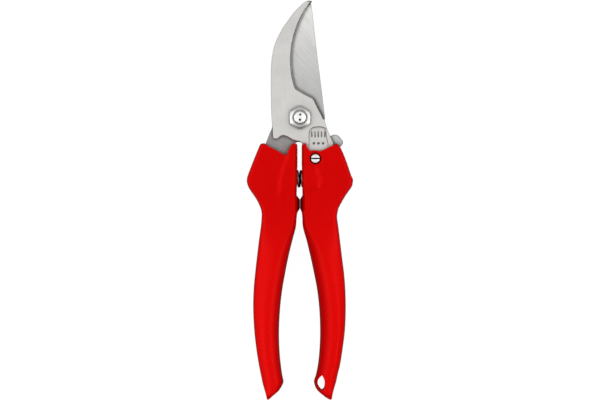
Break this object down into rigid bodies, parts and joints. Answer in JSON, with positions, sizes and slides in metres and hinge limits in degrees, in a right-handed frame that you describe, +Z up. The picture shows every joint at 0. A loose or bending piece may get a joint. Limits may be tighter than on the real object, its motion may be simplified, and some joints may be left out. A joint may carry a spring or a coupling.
{
  "type": "bypass pruner",
  "caption": "Bypass pruner with a hooked counter blade, a curved cutting blade, moulded red handles, a return spring and a thumb catch.",
  "frame": {"origin": "middle of the closed tool in X and Y, on the surface that the tool lies on", "axes": "+Y from the handle ends to the blade tips, +X to the right as seen from the front, +Z up out of the front face with the nut"},
  "size_m": [0.0509, 0.1899, 0.016],
  "materials": {
    "hook_steel": "satin, light",
    "blade_steel": "brushed, darker",
    "bright_steel": "bright plated",
    "plain_steel": "zinc plated",
    "red_plastic": "soft gloss red",
    "dark_nylon": "matt",
    "spring_steel": "dark, oiled",
    "catch_grey": "satin grey"
  },
  "bodies": {
    "hook_side": {"counter_blade": "hook_steel", "right_handle": "red_plastic", "pivot_bolt": "bright_steel", "pivot_nut": "bright_steel", "pivot_nut_insert": "dark_nylon", "pivot_spring_washer": "plain_steel", "pivot_bush": "plain_steel", "right_tang_screw": "plain_steel", "catch_bush": "plain_steel", "catch_wave_washer": "plain_steel", "catch_screw": "bright_steel", "catch_nut": "plain_steel", "return_spring": "spring_steel"},
    "blade_side": {"cutting_blade": "blade_steel", "left_handle": "red_plastic", "left_upper_tang_screw": "plain_steel", "left_lower_tang_screw": "plain_steel"},
    "catch": {"catch_lever": "catch_grey"}
  },
  "joints": [
    {"name": "pruner_pivot", "type": "hinge", "parent": "hook_side", "child": "blade_side", "pos_m": [0, 0.0392, 0.008], "axis": [0, 0, -1], "range_deg": [0, 27], "stiffness_Nm_per_rad": 0.4, "springref_deg": 48.7, "deforming": ["return_spring"]},
    {"name": "catch_turn", "type": "hinge", "parent": "hook_side", "child": "catch", "pos_m": [0.0073, 0.0197, 0.0065], "axis": [0, 0, 1], "range_deg": [0, 16]}
  ]
}
